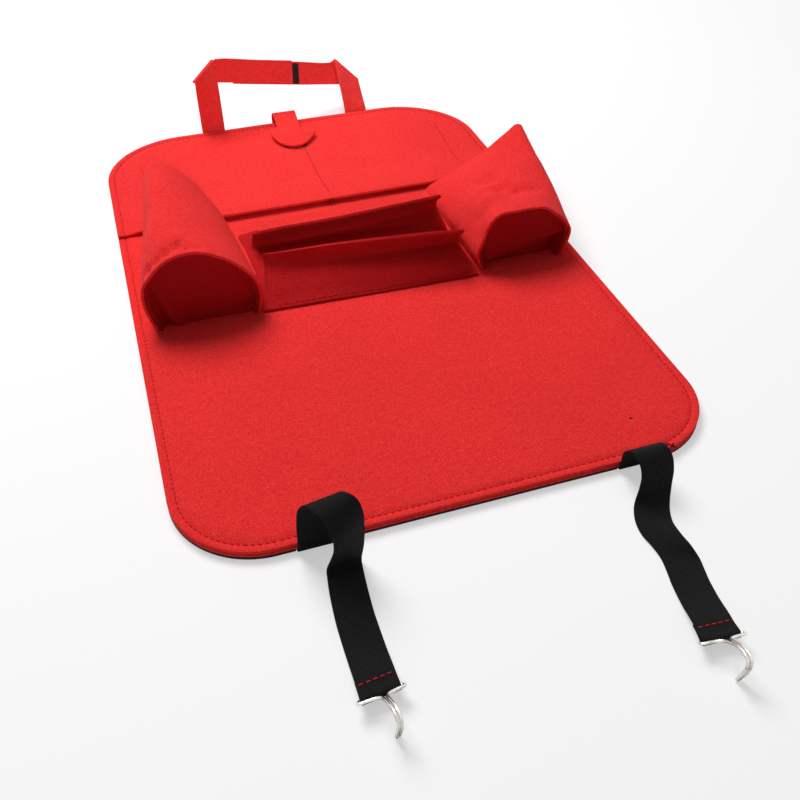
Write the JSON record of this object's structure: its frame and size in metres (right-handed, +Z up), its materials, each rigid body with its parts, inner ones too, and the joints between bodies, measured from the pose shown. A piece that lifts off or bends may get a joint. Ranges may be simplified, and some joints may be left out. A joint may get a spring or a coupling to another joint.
{
  "type": "car seat-back organizer",
  "caption": "Red felt seat-back organizer lying on its back, with bottle pockets, centre pockets, a flat pocket closed by a tab, a head strap loop and elastic straps with wire hooks.",
  "frame": {"origin": "middle of the panel, on the back lining's underside", "axes": "+X across the panel to the right, +Y along it to the head strap, +Z up from the back to the pockets"},
  "size_m": [0.4132, 0.8203, 0.0801],
  "materials": {
    "lining_black": "thin woven backing",
    "felt_main": "pressed felt",
    "felt_lower": "pressed felt",
    "felt_upper": "pressed felt",
    "felt_tab": "pressed felt",
    "hook_black": "hook tape",
    "loop_black": "loop tape",
    "felt_left_wall": "pressed felt",
    "felt_left_base": "pressed felt",
    "felt_right_wall": "pressed felt",
    "felt_right_base": "pressed felt",
    "felt_front_pocket": "pressed felt",
    "felt_rear_pocket": "pressed felt",
    "felt_left_strap": "pressed felt",
    "felt_right_strap": "pressed felt",
    "elastic_left": "ribbed elastic webbing",
    "elastic_right": "ribbed elastic webbing",
    "steel_left": "nickel-plated wire",
    "steel_right": "nickel-plated wire"
  },
  "bodies": {
    "organizer": {"back_lining": "lining_black", "main_panel": "felt_main", "lower_front": "felt_lower", "upper_front": "felt_upper", "closure_tab": "felt_tab", "tab_hook_patch": "hook_black", "tab_loop_patch": "loop_black", "left_bottle_wall": "felt_left_wall", "left_bottle_base": "felt_left_base", "right_bottle_wall": "felt_right_wall", "right_bottle_base": "felt_right_base", "front_center_pocket": "felt_front_pocket", "rear_center_pocket": "felt_rear_pocket", "left_head_strap": "felt_left_strap", "right_head_strap": "felt_right_strap", "head_strap_hook_tape": "hook_black", "head_strap_loop_tape": "loop_black", "left_elastic_strap": "elastic_left", "right_elastic_strap": "elastic_right"},
    "left_hook": {"left_wire_hook": "steel_left"},
    "right_hook": {"right_wire_hook": "steel_right"}
  },
  "joints": [
    {"name": "left_hook_swing", "type": "hinge", "parent": "organizer", "child": "left_hook", "pos_m": [-0.1051, -0.4178, 0.0087], "axis": [0.9945, 0.1045, 0], "range_deg": [-75, 105]},
    {"name": "right_hook_swing", "type": "hinge", "parent": "organizer", "child": "right_hook", "pos_m": [0.0948, -0.4462, 0.0087], "axis": [0.9973, -0.0732, 0], "range_deg": [-75, 105]}
  ]
}
